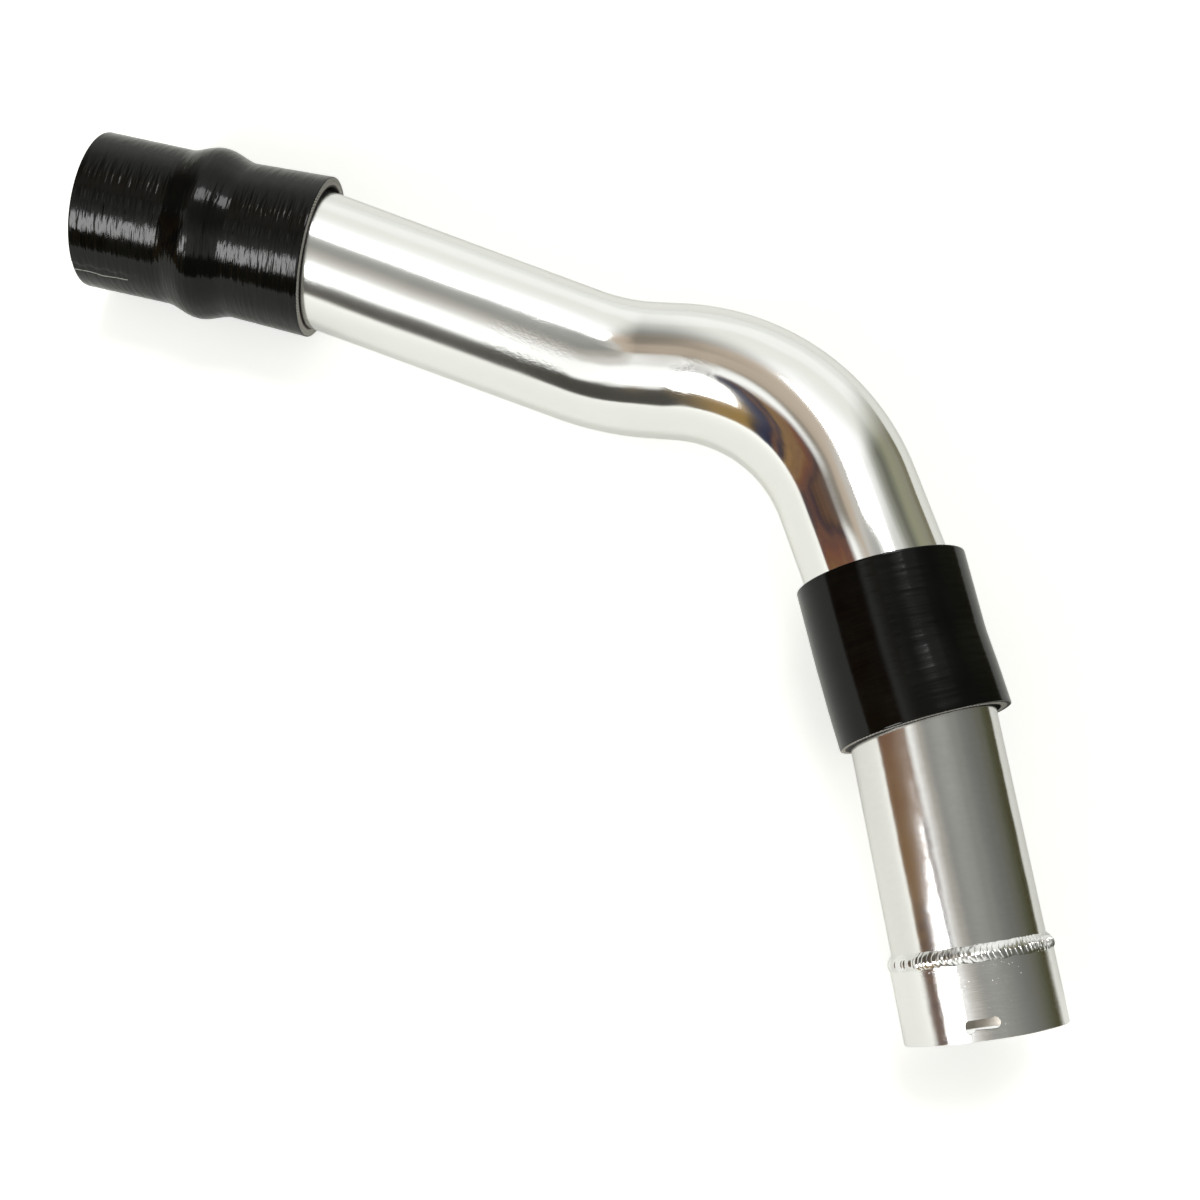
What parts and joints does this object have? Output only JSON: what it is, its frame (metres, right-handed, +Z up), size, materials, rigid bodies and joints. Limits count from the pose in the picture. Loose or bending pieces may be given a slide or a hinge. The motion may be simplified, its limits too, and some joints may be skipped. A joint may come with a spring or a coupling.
{
  "type": "intercooler pipe",
  "caption": "Bent aluminium intercooler pipe with a black silicone hump hose at one end, a straight coupler hose and a short lower tube with a welded, slotted end collar.",
  "frame": {"origin": "centre of the hump hose's free mouth", "axes": "+Z up, the pipe lying as it comes to rest on a flat floor; +X in plan along the first straight, from the hump hose towards the bends"},
  "size_m": [0.633, 0.3531, 0.109],
  "materials": {
    "polished_tube": "polished, near mirror",
    "satin_tube": "satin, fine brushed",
    "weld": "as welded, rippled",
    "silicone_hose": "glossy, fine wrap ridges"
  },
  "bodies": {
    "root": {"hump_hose": "silicone_hose", "upper_pipe": "polished_tube", "coupler_hose": "silicone_hose", "lower_tube": "satin_tube", "weld_bead": "weld", "end_collar": "satin_tube"}
  },
  "joints": []
}
